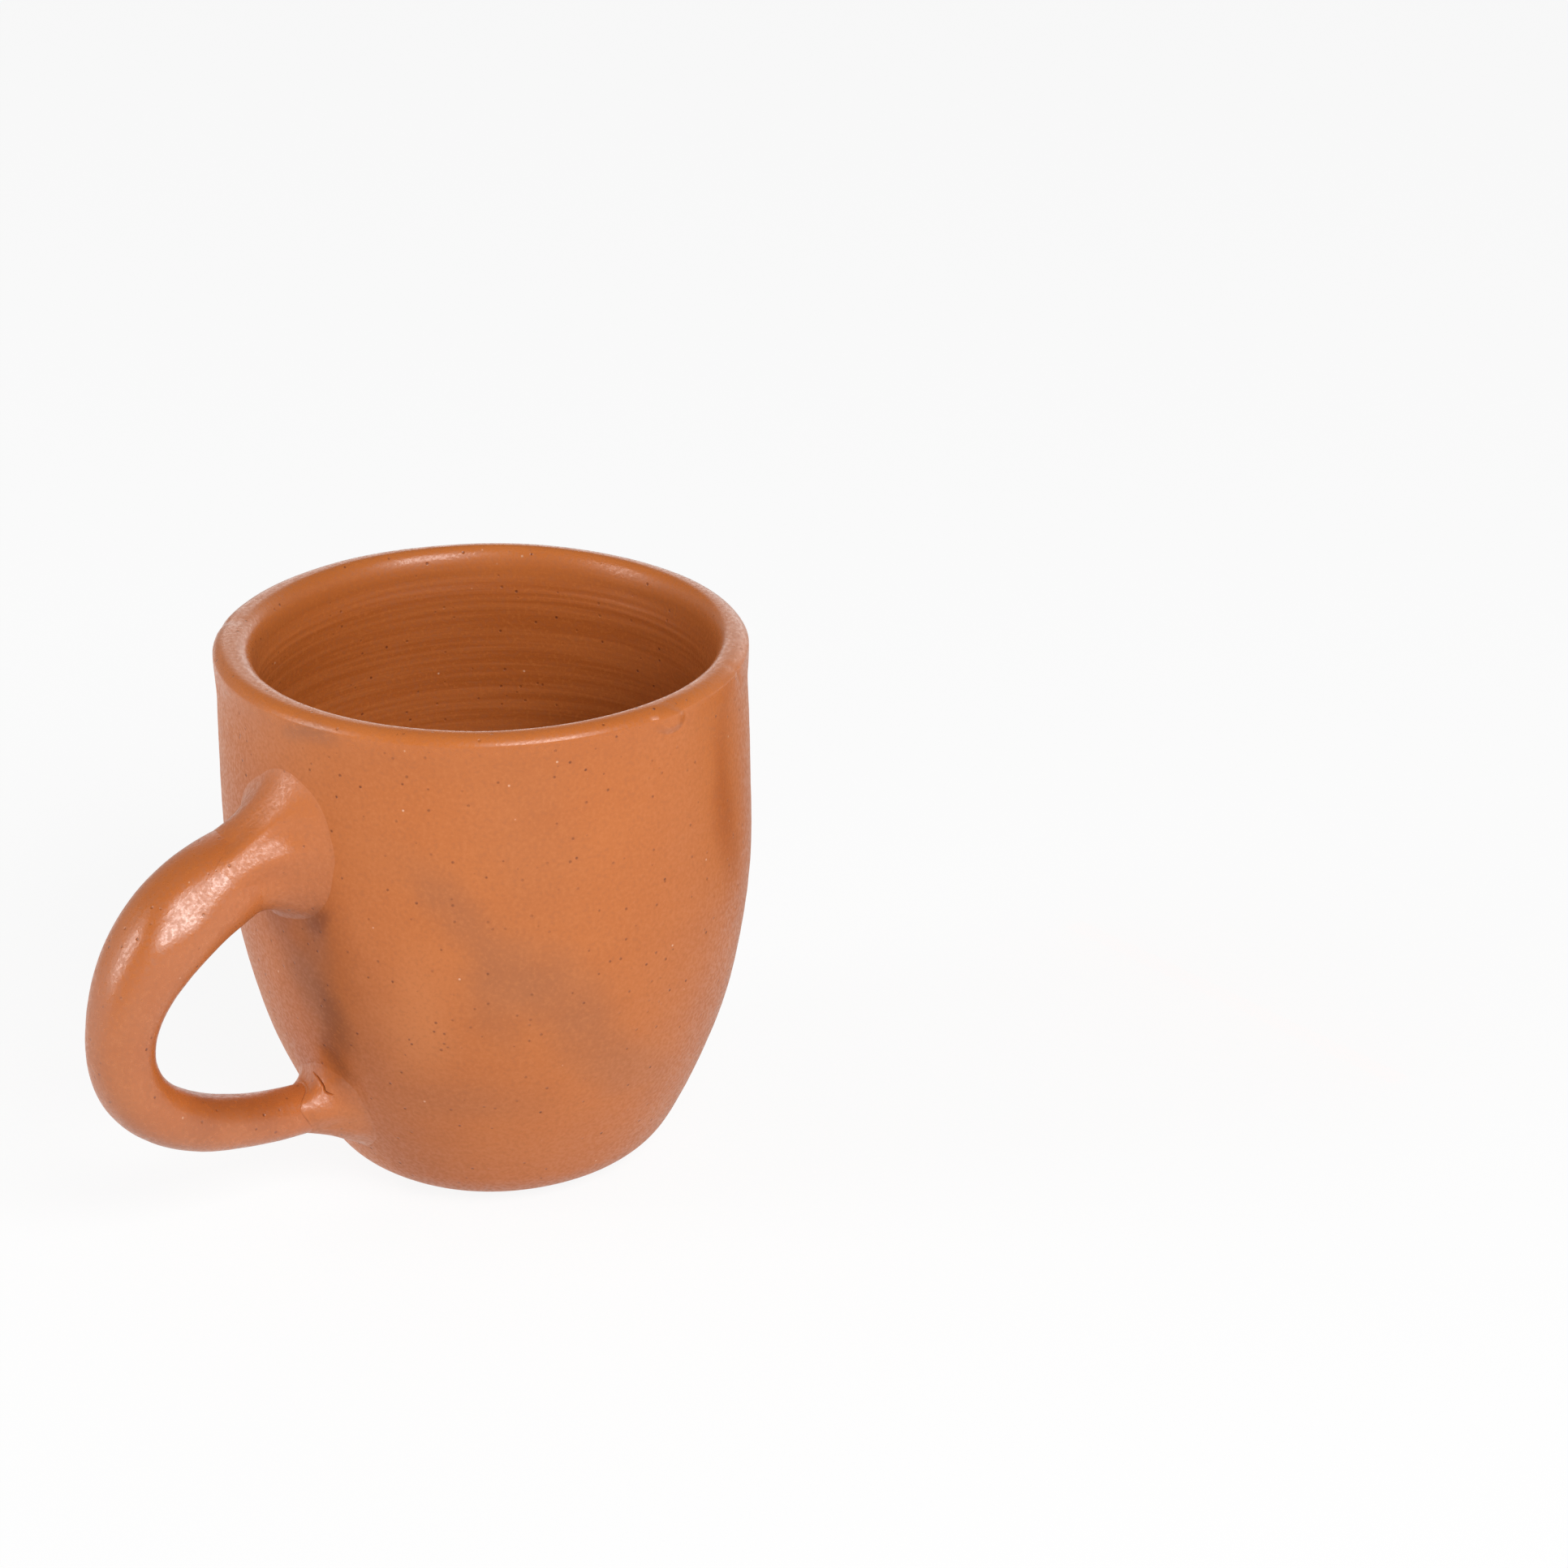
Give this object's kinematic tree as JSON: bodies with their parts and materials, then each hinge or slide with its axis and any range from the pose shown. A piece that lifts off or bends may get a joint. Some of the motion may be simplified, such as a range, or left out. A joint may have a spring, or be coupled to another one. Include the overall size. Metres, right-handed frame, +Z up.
{
  "type": "terracotta tea cup with handle",
  "caption": "Wheel-thrown terracotta tea cup with a swelling wall, soft foot, rolled lip and a tapered coil handle luted on with smoothed clay collars.",
  "frame": {"origin": "middle of the flat foot, on the surface that the cup stands on", "axes": "+Z up along the axis that the cup was thrown on; +X out through the middle of the handle"},
  "size_m": [0.1244, 0.088, 0.0925],
  "materials": {
    "thrown_clay": "satin",
    "coil_clay": "satin",
    "slip": "matte",
    "collar_clay": "satin"
  },
  "bodies": {
    "root": {"cup_body": "thrown_clay", "handle_coil": "coil_clay", "upper_slip_bed": "slip", "lower_slip_bed": "slip", "upper_collar": "collar_clay", "lower_collar": "collar_clay"}
  },
  "joints": []
}
